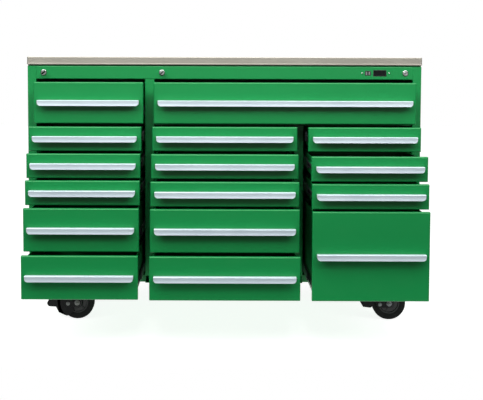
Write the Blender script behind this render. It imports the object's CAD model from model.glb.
"""Looks of the rolling tool chest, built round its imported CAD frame.

Every length in this file is in millimetres in the frame of the part, and becomes metres
when a mesh is made. Each sub-assembly is a class that builds its own meshes and dresses
them with the finishes at the top of the file.
"""

import logging
import math
from dataclasses import dataclass, field
from enum import Enum
from typing import Any, Callable, Sequence

import bmesh
import bpy
from mathutils import Euler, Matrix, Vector

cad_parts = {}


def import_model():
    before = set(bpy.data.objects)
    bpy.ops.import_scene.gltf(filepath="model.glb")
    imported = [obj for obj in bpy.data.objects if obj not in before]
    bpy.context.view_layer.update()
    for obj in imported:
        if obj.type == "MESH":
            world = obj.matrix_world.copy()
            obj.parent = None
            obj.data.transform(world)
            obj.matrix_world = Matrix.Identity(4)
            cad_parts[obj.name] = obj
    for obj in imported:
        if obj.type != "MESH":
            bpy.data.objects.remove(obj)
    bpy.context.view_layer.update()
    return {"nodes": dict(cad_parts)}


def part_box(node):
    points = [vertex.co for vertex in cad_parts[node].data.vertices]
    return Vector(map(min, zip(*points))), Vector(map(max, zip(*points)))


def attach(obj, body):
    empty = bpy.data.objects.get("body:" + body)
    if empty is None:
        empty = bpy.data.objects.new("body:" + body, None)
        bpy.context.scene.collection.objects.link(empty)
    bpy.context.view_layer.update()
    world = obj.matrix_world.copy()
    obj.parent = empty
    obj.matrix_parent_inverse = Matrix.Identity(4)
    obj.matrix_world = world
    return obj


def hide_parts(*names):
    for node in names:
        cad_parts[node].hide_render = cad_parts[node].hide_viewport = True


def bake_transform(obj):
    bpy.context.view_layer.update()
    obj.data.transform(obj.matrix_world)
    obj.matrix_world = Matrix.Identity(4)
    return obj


log = logging.getLogger("tool_chest")

MM = 0.001

Point2 = tuple[float, float]
Point3 = tuple[float, float, float]
Colour = tuple[float, float, float, float]


# --------------------------------------------------------------------------------------
# Shader nodes
# --------------------------------------------------------------------------------------


def srgb(red: int, green: int, blue: int) -> Colour:
    """Turn an 8-bit display colour into a linear one.

    Args:
        red: Red, 0 to 255.
        green: Green, 0 to 255.
        blue: Blue, 0 to 255.

    Returns:
        The linear colour with full alpha.
    """

    def linear(value: int) -> float:
        """Undo the display curve of one channel."""
        share = value / 255
        return share / 12.92 if share <= 0.04045 else ((share + 0.055) / 1.055) ** 2.4

    return (linear(red), linear(green), linear(blue), 1.0)


class Wire:
    """A number on its way through a material's nodes, with Python's operators."""

    def __init__(self, graph: "Graph", socket: bpy.types.NodeSocket) -> None:
        """Wrap one output socket of a graph."""
        self.graph = graph
        self.socket = socket

    def _maths(self, operation: str, *values: Any) -> "Wire":
        """Add one Math node.

        Args:
            operation: Blender's name of the operation.
            *values: The node's inputs, numbers or wires.

        Returns:
            The node's result.
        """
        return self.graph.wire("ShaderNodeMath", {"operation": operation}, dict(enumerate(values)))

    def __add__(self, other: Any) -> "Wire":
        """Add."""
        return self._maths("ADD", self, other)

    def __radd__(self, other: Any) -> "Wire":
        """Add to a number."""
        return self._maths("ADD", other, self)

    def __sub__(self, other: Any) -> "Wire":
        """Subtract."""
        return self._maths("SUBTRACT", self, other)

    def __rsub__(self, other: Any) -> "Wire":
        """Subtract from a number."""
        return self._maths("SUBTRACT", other, self)

    def __mul__(self, other: Any) -> "Wire":
        """Multiply."""
        return self._maths("MULTIPLY", self, other)

    def __rmul__(self, other: Any) -> "Wire":
        """Multiply a number."""
        return self._maths("MULTIPLY", other, self)

    def ramp(self, low: float, high: float) -> "Wire":
        """Ease from 0 to 1.

        Args:
            low: Where the ramp begins.
            high: Where it ends.

        Returns:
            The eased value.
        """
        return self.graph.wire(
            "ShaderNodeMapRange",
            {"interpolation_type": "SMOOTHSTEP"},
            {"Value": self, "From Min": low, "From Max": high},
            "Result",
        )


class Graph:
    """The node tree of one material."""

    def __init__(self, name: str) -> None:
        """Make an empty material.

        Args:
            name: The material's name.
        """
        self.material = bpy.data.materials.new(name)
        self.material.use_nodes = True
        self.tree = self.material.node_tree
        self.tree.nodes.clear()
        self.place = self.node("ShaderNodeTexCoord", {}, {}).outputs["Object"]

    def node(self, kind: str, settings: dict[str, Any], inputs: dict[Any, Any]) -> bpy.types.Node:
        """Add one node.

        Args:
            kind: Blender's type name of the node.
            settings: Properties, set first. "stops" gives a ramp's (place, colour) pairs.
            inputs: Values, wires or sockets by input name or number.

        Returns:
            The new node.
        """
        made = self.tree.nodes.new(kind)
        for name, value in settings.items():
            if name == "stops":
                self._set_stops(made.color_ramp, value)
            else:
                setattr(made, name, value)
        for name, value in inputs.items():
            if isinstance(value, Wire):
                value = value.socket
            if isinstance(value, bpy.types.NodeSocket):
                self.tree.links.new(value, made.inputs[name])
            else:
                made.inputs[name].default_value = value
        return made

    @staticmethod
    def _set_stops(ramp: bpy.types.ColorRamp, stops: Sequence[tuple[float, Colour]]) -> None:
        """Write a ramp's stops, in order of place."""
        while len(ramp.elements) < len(stops):
            ramp.elements.new(1.0)
        for element, (position, colour) in zip(ramp.elements, stops):
            element.position, element.color = position, colour

    def wire(
        self, kind: str, settings: dict[str, Any], inputs: dict[Any, Any], output: Any = 0
    ) -> Wire:
        """Add one node and wrap one of its outputs.

        Args:
            kind: Blender's type name of the node.
            settings: Properties of the node.
            inputs: Values, wires or sockets by input name or number.
            output: Name or number of the output.

        Returns:
            The wrapped output.
        """
        return Wire(self, self.node(kind, settings, inputs).outputs[output])

    def stretched(self, scale: Point3) -> bpy.types.NodeSocket:
        """Scale the object coordinates, axis by axis.

        Args:
            scale: Factor of each axis.

        Returns:
            The scaled coordinates.
        """
        node = self.node("ShaderNodeMapping", {}, {"Vector": self.place, "Scale": scale})
        return node.outputs["Vector"]

    def noise(
        self, scale: float, detail: float = 2.0, roughness: float = 0.5, where: Any = None
    ) -> Wire:
        """Smooth noise round 0.5.

        Args:
            scale: Features per metre.
            detail: Octaves.
            roughness: Share of the finer octaves.
            where: Coordinates, the object's own if None.

        Returns:
            The noise value.
        """
        return self.wire(
            "ShaderNodeTexNoise",
            {},
            {
                "Vector": self.place if where is None else where,
                "Scale": scale,
                "Detail": detail,
                "Roughness": roughness,
            },
        )

    def specks(self, scale: float, size: float) -> Wire:
        """Scattered round specks.

        Args:
            scale: Cells per metre.
            size: Radius of a speck as a share of its cell.

        Returns:
            1 in a speck and 0 outside.
        """
        cells = self.wire("ShaderNodeTexVoronoi", {}, {"Vector": self.place, "Scale": scale})
        return cells.ramp(size, size * 0.6)

    def facing(self, name: str) -> Wire:
        """One component of the surface's direction, X, Y or Z."""
        normal = self.node("ShaderNodeTexCoord", {}, {}).outputs["Normal"]
        return self.wire("ShaderNodeSeparateXYZ", {}, {"Vector": normal}, name)

    def mix(self, factor: Any, first: Any, second: Any) -> bpy.types.NodeSocket:
        """Mix two colours.

        Args:
            factor: Share of the second, a number or wire.
            first: Colour or colour socket at 0.
            second: Colour or colour socket at 1.

        Returns:
            The mixed colour's socket.
        """
        node = self.node("ShaderNodeMix", {"data_type": "RGBA"}, {0: factor, 6: first, 7: second})
        return node.outputs[2]

    def bump(self, height: Wire, strength: float, distance: float) -> bpy.types.NodeSocket:
        """Turn a height into a normal.

        Args:
            height: Height from 0 to 1.
            strength: Share of the effect.
            distance: Height of 1, in metres.

        Returns:
            The normal's socket.
        """
        node = self.node(
            "ShaderNodeBump", {}, {"Height": height, "Strength": strength, "Distance": distance}
        )
        return node.outputs["Normal"]

    def surface(self, sockets: dict[str, Any]) -> bpy.types.Material:
        """Close the graph with one Principled shader.

        Args:
            sockets: Values and links of the shader.

        Returns:
            The finished material.
        """
        shader = self.node("ShaderNodeBsdfPrincipled", {}, sockets)
        out = self.node("ShaderNodeOutputMaterial", {}, {"Surface": shader.outputs[0]})
        out.is_active_output = True
        return self.material


# --------------------------------------------------------------------------------------
# Finishes
# --------------------------------------------------------------------------------------


@dataclass(frozen=True)
class PowderCoat:
    """Baked powder paint: even colour, faint orange peel, soft gloss, dust and rubs."""

    name: str
    colour: Colour
    shade: Colour
    gloss: float = 0.34
    peel: float = 0.1
    dust: float = 0.02
    sheen: float = 0.36

    def material(self) -> bpy.types.Material:
        """Build the paint's material."""
        g = Graph(self.name)
        cloudy = g.noise(3.1, 3.0)
        mottle = g.noise(420.0, 2.0)
        tint = g.mix(cloudy * 0.7 + mottle * 0.3, self.shade, self.colour)
        flat_top = g.facing("Z").ramp(0.75, 0.98)
        settled = flat_top * g.noise(38.0, 4.0, 0.65).ramp(0.42, 0.72)
        specks = g.specks(900.0, 0.16) * g.noise(9.0).ramp(0.5, 0.7)
        dusty = (settled + specks * 0.5) * self.dust
        colour = g.mix(dusty, tint, srgb(150, 150, 140))
        peel = g.noise(520.0, 1.0, 0.4)
        fine = g.noise(2300.0, 1.0)
        smear = g.noise(11.0, 4.0, 0.6, g.stretched((1.0, 1.0, 2.6))).ramp(0.45, 0.75)
        rough = self.gloss + smear * 0.07 + mottle * 0.05 + dusty * 2.0
        return g.surface(
            {
                "Base Color": colour,
                "Roughness": rough,
                "Specular IOR Level": self.sheen,
                "Normal": g.bump(peel + fine * 0.25, self.peel, 0.0004),
            }
        )


@dataclass(frozen=True)
class BrushedSteel:
    """Sheet metal brushed along X, with cloudy tone, drawn scratches and finger marks."""

    name: str
    light: Colour
    dark: Colour
    roughness: float = 0.34
    metallic: float = 0.85
    grain: Point3 = (6.0, 1500.0, 1500.0)

    def material(self) -> bpy.types.Material:
        """Build the metal's material."""
        g = Graph(self.name)
        lines = g.noise(1.0, 3.0, 0.7, g.stretched(self.grain))
        coarse = g.noise(1.0, 2.0, 0.6, g.stretched((2.0, 240.0, 240.0)))
        cloudy = g.noise(2.4, 3.0)
        tone = lines * 0.45 + coarse * 0.25 + cloudy * 0.3
        marks = g.noise(14.0, 4.0, 0.65).ramp(0.5, 0.75)
        scratch = g.noise(1.0, 2.0, 0.5, g.stretched((30.0, 900.0, 900.0))).ramp(0.68, 0.74)
        rough = self.roughness + lines * 0.12 + marks * 0.06 - scratch * 0.08
        return g.surface(
            {
                "Base Color": g.mix(tone.ramp(0.3, 0.7), self.dark, self.light),
                "Metallic": self.metallic,
                "Roughness": rough,
                "Normal": g.bump(lines + coarse * 0.4, 0.12, 0.00012),
            }
        )


@dataclass(frozen=True)
class SatinMetal:
    """Blasted and anodised or plated metal: fine grain, soft clouding, slight handling wear."""

    name: str
    light: Colour
    dark: Colour
    roughness: float = 0.3
    metallic: float = 0.8
    grain: float = 1800.0
    bump: float = 0.08

    def material(self) -> bpy.types.Material:
        """Build the metal's material."""
        g = Graph(self.name)
        grains = g.noise(self.grain, 2.0, 0.6)
        along = g.noise(1.0, 2.0, 0.6, g.stretched((9.0, 700.0, 700.0)))
        cloudy = g.noise(5.5, 3.0, 0.55)
        worn = g.noise(26.0, 4.0, 0.7).ramp(0.55, 0.8)
        tone = (grains * 0.2 + along * 0.3 + cloudy * 0.5).ramp(0.32, 0.68)
        return g.surface(
            {
                "Base Color": g.mix(tone, self.dark, self.light),
                "Metallic": self.metallic,
                "Roughness": self.roughness + grains * 0.06 + worn * 0.08,
                "Normal": g.bump(grains * 0.6 + along * 0.4, self.bump, 0.0001),
            }
        )


@dataclass(frozen=True)
class ZincPlate:
    """Zinc plating: spangled steel with a warm cast, drawn lines and grease smears."""

    name: str
    light: Colour
    dark: Colour
    warm: Colour

    def material(self) -> bpy.types.Material:
        """Build the plating's material."""
        g = Graph(self.name)
        spangle = g.wire(
            "ShaderNodeTexVoronoi", {}, {"Vector": g.place, "Scale": 160.0}, "Distance"
        )
        cast = g.noise(7.0, 3.0)
        drawn = g.noise(1.0, 2.0, 0.6, g.stretched((900.0, 12.0, 900.0)))
        pale = g.mix(spangle, self.dark, self.light)
        warm = g.mix(cast.ramp(0.45, 0.7) * 0.5, pale, self.warm)
        grease = g.noise(30.0, 4.0, 0.7).ramp(0.55, 0.75)
        colour = g.mix(grease * 0.45, warm, srgb(38, 36, 33))
        return g.surface(
            {
                "Base Color": colour,
                "Metallic": 0.9,
                "Roughness": 0.3 + drawn * 0.15 + grease * 0.1,
                "Normal": g.bump(drawn, 0.12, 0.0001),
            }
        )


@dataclass(frozen=True)
class Chrome:
    """Chrome plating with faint haze, hairline scratches and finger grease."""

    name: str = "chrome"

    def material(self) -> bpy.types.Material:
        """Build the plating's material."""
        g = Graph(self.name)
        haze = g.noise(300.0, 3.0, 0.6)
        hair = g.noise(1.0, 1.0, 0.5, g.stretched((260.0, 260.0, 3800.0))).ramp(0.66, 0.72)
        colour = g.mix(haze, srgb(158, 163, 160), srgb(184, 188, 185))
        return g.surface(
            {
                "Base Color": colour,
                "Metallic": 1.0,
                "Roughness": 0.1 + haze * 0.08 + hair * 0.15,
                "Normal": g.bump(hair, 0.05, 0.00005),
            }
        )


@dataclass(frozen=True)
class MouldedPlastic:
    """Moulded plastic with a spark-eroded grain and a little wear."""

    name: str
    colour: Colour
    roughness: float = 0.42
    grain: float = 1500.0
    bump: float = 0.18
    sheen: float = 0.2

    def material(self) -> bpy.types.Material:
        """Build the plastic's material."""
        g = Graph(self.name)
        grain = g.noise(self.grain, 2.0, 0.55)
        cloudy = g.noise(22.0, 3.0)
        lighter = tuple(min(1.0, c * 1.7 + 0.004) for c in self.colour[:3]) + (1.0,)
        worn = g.noise(60.0, 4.0, 0.7).ramp(0.56, 0.78)
        return g.surface(
            {
                "Base Color": g.mix(cloudy * 0.5 + worn * 0.4, self.colour, lighter),
                "Roughness": self.roughness + grain * 0.12 - worn * 0.06,
                "Specular IOR Level": self.sheen,
                "Normal": g.bump(grain, self.bump, 0.00012),
            }
        )


@dataclass(frozen=True)
class TyreRubber:
    """Black tyre rubber: matt, with grey scuffs and dust where it rolls."""

    name: str = "tyre_rubber"
    colour: Colour = field(default_factory=lambda: srgb(13, 14, 14))

    def material(self) -> bpy.types.Material:
        """Build the rubber's material."""
        g = Graph(self.name)
        grain = g.noise(900.0, 3.0, 0.6)
        scuff = g.noise(34.0, 5.0, 0.7).ramp(0.48, 0.78)
        dust = g.noise(160.0, 4.0, 0.7).ramp(0.5, 0.8)
        low = g.mix(scuff * 0.4, self.colour, srgb(38, 38, 37))
        return g.surface(
            {
                "Base Color": g.mix(dust * 0.1, low, srgb(90, 87, 82)),
                "Roughness": 0.6 + grain * 0.15 + scuff * 0.1,
                "Specular IOR Level": 0.15,
                "Normal": g.bump(grain + scuff * 0.4, 0.3, 0.0002),
            }
        )


@dataclass(frozen=True)
class RibbedLiner:
    """Rubber drawer liner with fine ribs running back to front."""

    name: str = "ribbed_liner"
    pitch_mm: float = 4.0

    def material(self) -> bpy.types.Material:
        """Build the liner's material."""
        g = Graph(self.name)
        # one wave texture band is 1 / (scale * 20 / (2 pi)) metres wide
        scale = math.tau / (20.0 * self.pitch_mm * MM)
        ribs = g.wire(
            "ShaderNodeTexWave",
            {"bands_direction": "X", "wave_profile": "SIN"},
            {"Vector": g.place, "Scale": scale, "Distortion": 0.0},
            "Fac",
        )
        crest = ribs.ramp(0.35, 0.75)
        grain = g.noise(1200.0, 2.0)
        lint = g.specks(520.0, 0.12) * g.noise(12.0).ramp(0.5, 0.7)
        rubber = g.mix(crest, srgb(18, 19, 20), srgb(38, 39, 41))
        return g.surface(
            {
                "Base Color": g.mix(lint * 0.5, rubber, srgb(120, 118, 112)),
                "Roughness": 0.68 + grain * 0.12 - crest * 0.1,
                "Normal": g.bump(crest + grain * 0.1, 0.8, 0.0009),
            }
        )


@dataclass(frozen=True)
class ChipBoard:
    """Pressed board: pale chips in a tan binder."""

    name: str = "chip_board"

    def material(self) -> bpy.types.Material:
        """Build the board's material."""
        g = Graph(self.name)
        chips = g.wire(
            "ShaderNodeTexVoronoi",
            {},
            {"Vector": g.stretched((160.0, 160.0, 520.0)), "Scale": 1.0},
            "Color",
        )
        grey = g.wire("ShaderNodeSeparateXYZ", {}, {"Vector": chips}, "X")
        fibre = g.noise(700.0, 3.0)
        return g.surface(
            {
                "Base Color": g.mix(grey * 0.7 + fibre * 0.3, srgb(120, 88, 54), srgb(196, 160, 112)),
                "Roughness": 0.72 + fibre * 0.15,
                "Normal": g.bump(grey + fibre * 0.5, 0.4, 0.0004),
            }
        )


@dataclass(frozen=True)
class DarkWindow:
    """Glossy tinted cover: near black, with dust specks and faint rubs."""

    name: str = "dark_window"

    def material(self) -> bpy.types.Material:
        """Build the cover's material."""
        g = Graph(self.name)
        dust = g.specks(1500.0, 0.14) * g.noise(60.0).ramp(0.45, 0.65)
        rubs = g.noise(90.0, 4.0, 0.7).ramp(0.52, 0.75)
        return g.surface(
            {
                "Base Color": g.mix(dust * 0.4, srgb(9, 11, 12), srgb(110, 112, 110)),
                "Roughness": 0.12 + rubs * 0.1 + dust * 0.3,
                "Specular IOR Level": 0.12,
            }
        )


@dataclass(frozen=True)
class StudioFloor:
    """Painted studio floor: near white with the faintest roller texture."""

    name: str = "studio_floor"

    def material(self) -> bpy.types.Material:
        """Build the floor's material."""
        g = Graph(self.name)
        cloudy = g.noise(0.7, 3.0)
        roller = g.noise(240.0, 2.0)
        return g.surface(
            {
                "Base Color": g.mix(cloudy, (0.42, 0.42, 0.42, 1.0), (0.46, 0.46, 0.46, 1.0)),
                "Emission Color": (1.0, 1.0, 1.0, 1.0),
                "Emission Strength": 0.88,
                "Roughness": 0.85 + roller * 0.1,
                "Normal": g.bump(roller, 0.05, 0.0003),
            }
        )


class Finish(Enum):
    """Every finish on the chest, each built once."""

    GREEN = PowderCoat("green_powder", srgb(7, 119, 58), srgb(6, 112, 54))
    BLACK = PowderCoat("black_powder", srgb(12, 13, 14), srgb(9, 10, 11), 0.34, 0.16, 0.03, 0.14)
    TOP = BrushedSteel("brushed_stainless", srgb(180, 175, 163), srgb(160, 156, 146))
    PULL = SatinMetal("satin_aluminium", srgb(206, 219, 226), srgb(190, 204, 213), 0.36, 0.45)
    ZINC = ZincPlate("dark_zinc", srgb(88, 92, 97), srgb(66, 70, 76), srgb(92, 86, 72))
    BOLT = ZincPlate("bolt_zinc", srgb(112, 117, 120), srgb(88, 93, 97), srgb(104, 100, 88))
    CHROME = Chrome()
    KEY = SatinMetal("key_steel", srgb(52, 54, 50), srgb(34, 36, 33), 0.32, 0.9)
    PLASTIC = MouldedPlastic("black_plastic", srgb(10, 11, 12))
    HUB = MouldedPlastic("hub_plastic", srgb(16, 18, 18), 0.26, 900.0, 0.12, 0.4)
    RUBBER = TyreRubber()
    LINER = RibbedLiner()
    BOARD = ChipBoard()
    WINDOW = DarkWindow()
    FLOOR = StudioFloor()

    @property
    def material(self) -> bpy.types.Material:
        """The finish's material, made on first use."""
        found = bpy.data.materials.get(self.value.name)
        return found or self.value.material()


# --------------------------------------------------------------------------------------
# Meshes
# --------------------------------------------------------------------------------------


class Axis(Enum):
    """The direction in which an outline is drawn out, with where its (u, v) lie."""

    X = 0
    Y = 1
    Z = 2

    def at(self, u: float, v: float, along: float) -> Vector:
        """Place an outline's point.

        Args:
            u: First coordinate in the outline.
            v: Second coordinate in the outline.
            along: Distance along this axis.

        Returns:
            The point in space.
        """
        if self is Axis.X:
            return Vector((along, u, v))
        return Vector((u, along, v)) if self is Axis.Y else Vector((u, v, along))


def arc(centre: Point2, radius: float, start: float, end: float, steps: int) -> list[Point2]:
    """Points on an arc.

    Args:
        centre: Middle of the arc.
        radius: Its radius.
        start: First angle in degrees.
        end: Last angle in degrees.
        steps: Number of chords.

    Returns:
        The points, both ends included.
    """
    angles = [math.radians(start + (end - start) * i / steps) for i in range(steps + 1)]
    return [(centre[0] + radius * math.cos(a), centre[1] + radius * math.sin(a)) for a in angles]


def rect(
    u0: float, v0: float, u1: float, v1: float, radius: float = 0.0, steps: int = 4
) -> list[Point2]:
    """A rectangle's outline, with round corners if it has a radius.

    Args:
        u0: Low side.
        v0: Low end.
        u1: High side.
        v1: High end.
        radius: Corner radius.
        steps: Chords of each corner.

    Returns:
        The outline, anticlockwise.
    """
    if radius <= 0:
        return [(u0, v0), (u1, v0), (u1, v1), (u0, v1)]
    r = min(radius, (u1 - u0) / 2 - 0.001, (v1 - v0) / 2 - 0.001)
    return (
        arc((u1 - r, v0 + r), r, -90, 0, steps)
        + arc((u1 - r, v1 - r), r, 0, 90, steps)
        + arc((u0 + r, v1 - r), r, 90, 180, steps)
        + arc((u0 + r, v0 + r), r, 180, 270, steps)
    )


def _normals(path: Sequence[Point2], closed: bool) -> list[Vector]:
    """Mitred left-hand offsets of a path's points, for an offset of 1."""
    count, found = len(path), []
    for i, point in enumerate(path):
        here = Vector(point)
        before = Vector(path[i - 1]) if i or closed else None
        after = Vector(path[(i + 1) % count]) if i < count - 1 or closed else None
        sides = []
        for start, end in ((before, here), (here, after)):
            if start is not None and end is not None:
                step = (end - start).normalized()
                sides.append(Vector((-step.y, step.x)))
        total = sides[0] + sides[-1]
        found.append(total * (2.0 / max(total.length_squared, 0.3)))
    return found


def ribbon(path: Sequence[Point2], thick: float) -> list[Point2]:
    """The closed outline of bent sheet along a path.

    Args:
        path: The sheet's middle line.
        thick: Its thickness.

    Returns:
        The outline round it.
    """
    sides = _normals(path, False)
    left = [(p[0] + n.x * thick / 2, p[1] + n.y * thick / 2) for p, n in zip(path, sides)]
    right = [(p[0] - n.x * thick / 2, p[1] - n.y * thick / 2) for p, n in zip(path, sides)]
    return right + left[::-1]


def inset(outline: Sequence[Point2], by: float) -> list[Point2]:
    """Move an anticlockwise outline inwards.

    Args:
        outline: The outline.
        by: Distance.

    Returns:
        The smaller outline, point for point.
    """
    return [(p[0] + n.x * by, p[1] + n.y * by) for p, n in zip(outline, _normals(outline, True))]


def bends(path: Sequence[Point2], radius: float, steps: int = 4) -> list[Point2]:
    """Round the inner corners of an open path.

    Args:
        path: Corner points.
        radius: Radius of each bend.
        steps: Chords of each bend.

    Returns:
        The rounded path.
    """
    made = [path[0]]
    for a, b, c in zip(path, path[1:], path[2:]):
        here = Vector(b)
        back, ahead = (Vector(a) - here), (Vector(c) - here)
        half = back.angle(ahead) / 2
        cut = min(radius / math.tan(half), back.length * 0.49, ahead.length * 0.49)
        start, end = here + back.normalized() * cut, here + ahead.normalized() * cut
        for i in range(steps + 1):
            t = i / steps
            bend = start * (1 - t) ** 2 + here * 2 * t * (1 - t) + end * t * t
            made.append((bend.x, bend.y))
    return made + [path[-1]]


def hull(points: Sequence[Point2]) -> list[Point2]:
    """The convex outline round a set of points, anticlockwise."""
    ordered = sorted(set(points))

    def chain(source: Sequence[Point2]) -> list[Point2]:
        """One side of the outline."""
        kept: list[Point2] = []
        for p in source:
            while len(kept) > 1 and (
                (kept[-1][0] - kept[-2][0]) * (p[1] - kept[-2][1])
                - (kept[-1][1] - kept[-2][1]) * (p[0] - kept[-2][0])
                <= 1e-9
            ):
                kept.pop()
            kept.append(p)
        return kept

    return chain(ordered)[:-1] + chain(ordered[::-1])[:-1]


def quarter(steps: int) -> list[float]:
    """Angles from 0 to a right angle, in radians."""
    return [math.radians(90 * i / steps) for i in range(steps + 1)]


def bevel(radius: float, steps: int) -> list[Point2]:
    """A rounded edge between two faces that meet squarely.

    Args:
        radius: Radius of the edge.
        steps: Number of chords.

    Returns:
        (depth below one face, depth below the other), from on the one to on the other.
    """
    return [(radius * (1 - math.cos(a)), radius * (1 - math.sin(a))) for a in quarter(steps)]


def channel(web: float, lip: float, middle: float, half: float, turn: float, thick: float) -> list[Point2]:
    """The middle line of a channel of bent sheet that opens to one side.

    Args:
        web: Middle of its web, across.
        lip: Middle of its two lips, across.
        middle: Height of its middle.
        half: Half of its outer height.
        turn: Height of a lip.
        thick: Thickness of the sheet.

    Returns:
        The line, in (across, height).
    """
    low, high = middle - half, middle + half
    return [
        (lip, low + turn),
        (lip, low + thick / 2),
        (web, low + thick / 2),
        (web, high - thick / 2),
        (lip, high - thick / 2),
        (lip, high - turn),
    ]


def around(radius: float, steps: int) -> list[Point2]:
    """Points on a circle round the origin.

    Args:
        radius: The circle's radius.
        steps: Number of points.

    Returns:
        The points.
    """
    angles = [math.tau * i / steps for i in range(steps)]
    return [(radius * math.cos(a), radius * math.sin(a)) for a in angles]


class Shape:
    """One mesh in the making, from closed solids."""

    SHARP = math.radians(38)

    def __init__(self) -> None:
        """Start with nothing."""
        self.mesh = bmesh.new()
        self.look = 0

    def loft(self, loops: Sequence[Sequence[Vector]], ring: bool = False) -> "Shape":
        """Join loops of equally many points.

        Args:
            loops: The loops, in order.
            ring: Whether the last joins the first. If not, both ends are closed.

        Returns:
            This shape.
        """
        rows = [[self.mesh.verts.new(Vector(p) * MM) for p in loop] for loop in loops]
        pairs = list(zip(rows, rows[1:])) + ([(rows[-1], rows[0])] if ring else [])
        faces = []
        for a, b in pairs:
            for i in range(len(a)):
                j = (i + 1) % len(a)
                faces.append(self.mesh.faces.new((a[i], a[j], b[j], b[i])))
        if not ring:
            faces.append(self.mesh.faces.new(rows[0][::-1]))
            faces.append(self.mesh.faces.new(rows[-1]))
        for face in faces:
            face.material_index = self.look
        bmesh.ops.recalc_face_normals(self.mesh, faces=faces)
        return self

    def slab(
        self,
        outline: Sequence[Point2],
        axis: Axis,
        start: float,
        end: float,
        round_by: float = 0.0,
        steps: int = 2,
    ) -> "Shape":
        """Draw an outline out along an axis, with rounded rims.

        Args:
            outline: The outline, anticlockwise where the rims are rounded.
            axis: Direction.
            start: Low end.
            end: High end.
            round_by: Radius of both rims.
            steps: Chords of each rim.

        Returns:
            This shape.
        """
        if round_by <= 0:
            stations = [(0.0, start), (0.0, end)]
        else:
            low = [(by, start + up) for up, by in bevel(round_by, steps)]
            stations = low + [(by, start + end - along) for by, along in reversed(low)]
        loops = [
            [axis.at(u, v, along) for u, v in (inset(outline, by) if by > 1e-9 else outline)]
            for by, along in stations
        ]
        return self.loft(loops)

    def stepped(
        self,
        low: Sequence[float],
        high: Sequence[float],
        corner: tuple[float, int],
        axis: Axis,
        stations: Sequence[Point2],
        ring: bool = False,
    ) -> "Shape":
        """Join rectangles that step in and out along an axis.

        Args:
            low: Low corner of the full rectangle.
            high: High corner of the full rectangle.
            corner: Radius of its corners, and the chords of each.
            axis: Direction.
            stations: (distance in from the full rectangle, place along the axis) of each.
            ring: Whether the last joins the first.

        Returns:
            This shape.
        """
        loops = []
        for by, along in stations:
            ring_line = rect(low[0] + by, low[1] + by, high[0] - by, high[1] - by, *corner)
            loops.append([axis.at(u, v, along) for u, v in ring_line])
        return self.loft(loops, ring)

    def box(self, low: Point3, high: Point3, round_by: float = 0.6, steps: int = 2) -> "Shape":
        """A box with every edge rounded.

        Args:
            low: Lowest corner.
            high: Highest corner.
            round_by: Radius of the edges.
            steps: Chords of each edge.

        Returns:
            This shape.
        """
        outline = rect(low[0], low[2], high[0], high[2], round_by * 1.05, steps)
        return self.slab(outline, Axis.Y, low[1], high[1], round_by, steps)

    def lathe(
        self,
        profile: Sequence[Point2],
        centre: Point3,
        axis: Axis,
        steps: int = 40,
        ring: bool = False,
    ) -> "Shape":
        """Turn a profile round an axis.

        Args:
            profile: (radius, height) pairs.
            centre: Point on the axis at height 0.
            axis: The axis's direction.
            steps: Number of sides.
            ring: Whether the profile closes on itself, as for a piece with a bore.

        Returns:
            This shape.
        """
        middle = Vector(centre)
        loops = [
            [middle + axis.at(u, v, height) for u, v in around(radius, steps)]
            for radius, height in profile
        ]
        return self.loft(loops, ring)

    def screw(self, centre: Point3, axis: Axis, radius: float, side: int = 1) -> "Shape":
        """A domed screw head with a cross recess.

        Args:
            centre: Middle of the head's foot.
            axis: Direction of the screw.
            radius: Radius of the head.
            side: 1 if the head looks along the axis, or -1.

        Returns:
            This shape.
        """
        r = radius
        dome = [(r, 0.0), (r, 0.16 * r), (0.92 * r, 0.34 * r), (0.7 * r, 0.5 * r), (0.42 * r, 0.58 * r)]
        dip = [(0.4 * r, 0.5 * r), (0.16 * r, 0.22 * r)]
        profile = [(a, side * b) for a, b in dome + dip]
        return self.lathe(profile, centre, axis, 16)

    def hex_head(self, centre: Point3, axis: Axis, radius: float, height: float, side: int = 1) -> "Shape":
        """A hexagon bolt head or nut on a washer, with chamfered corners.

        Args:
            centre: Middle of its foot.
            axis: Direction of the bolt.
            radius: Radius to the corners.
            height: Height with the washer.
            side: 1 if the head looks along the axis, or -1.

        Returns:
            This shape.
        """
        washer = 0.2 * height
        rings = [(1.22 * radius, 0.0), (1.22 * radius, washer * 0.8), (1.16 * radius, washer)]
        self.lathe([(a, side * b) for a, b in rings], centre, axis, 28)
        head = [(radius, washer), (radius, height * 0.9), (0.86 * radius, height)]
        return self.lathe([(a, side * b) for a, b in head], centre, axis, 6)

    def turned(self, centre: Point3, axis: Axis, degrees: float) -> "Shape":
        """Turn all that has been drawn so far.

        Args:
            centre: Point on the axis.
            axis: Direction of the axis.
            degrees: Angle.

        Returns:
            This shape.
        """
        angles = [0.0, 0.0, 0.0]
        angles[axis.value] = math.radians(degrees)
        bmesh.ops.rotate(
            self.mesh,
            cent=Vector(centre) * MM,
            matrix=Euler(angles).to_matrix(),
            verts=list(self.mesh.verts),
        )
        return self

    def less(self, cutters: "Shape") -> "Shape":
        """Cut other solids out of this one.

        Args:
            cutters: The solids to take away.

        Returns:
            This shape.
        """
        body, tool = _loose_object("cut_body", self.mesh), _loose_object("cut_tool", cutters.mesh)
        cut = body.modifiers.new("cut", "BOOLEAN")
        cut.operation, cut.object, cut.solver = "DIFFERENCE", tool, "EXACT"
        bpy.context.view_layer.update()
        result = body.evaluated_get(bpy.context.evaluated_depsgraph_get()).to_mesh()
        self.mesh.clear()
        self.mesh.from_mesh(result)
        for spare in (body, tool):
            data = spare.data
            bpy.data.objects.remove(spare)
            bpy.data.meshes.remove(data)
        cutters.mesh.free()
        return self

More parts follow.
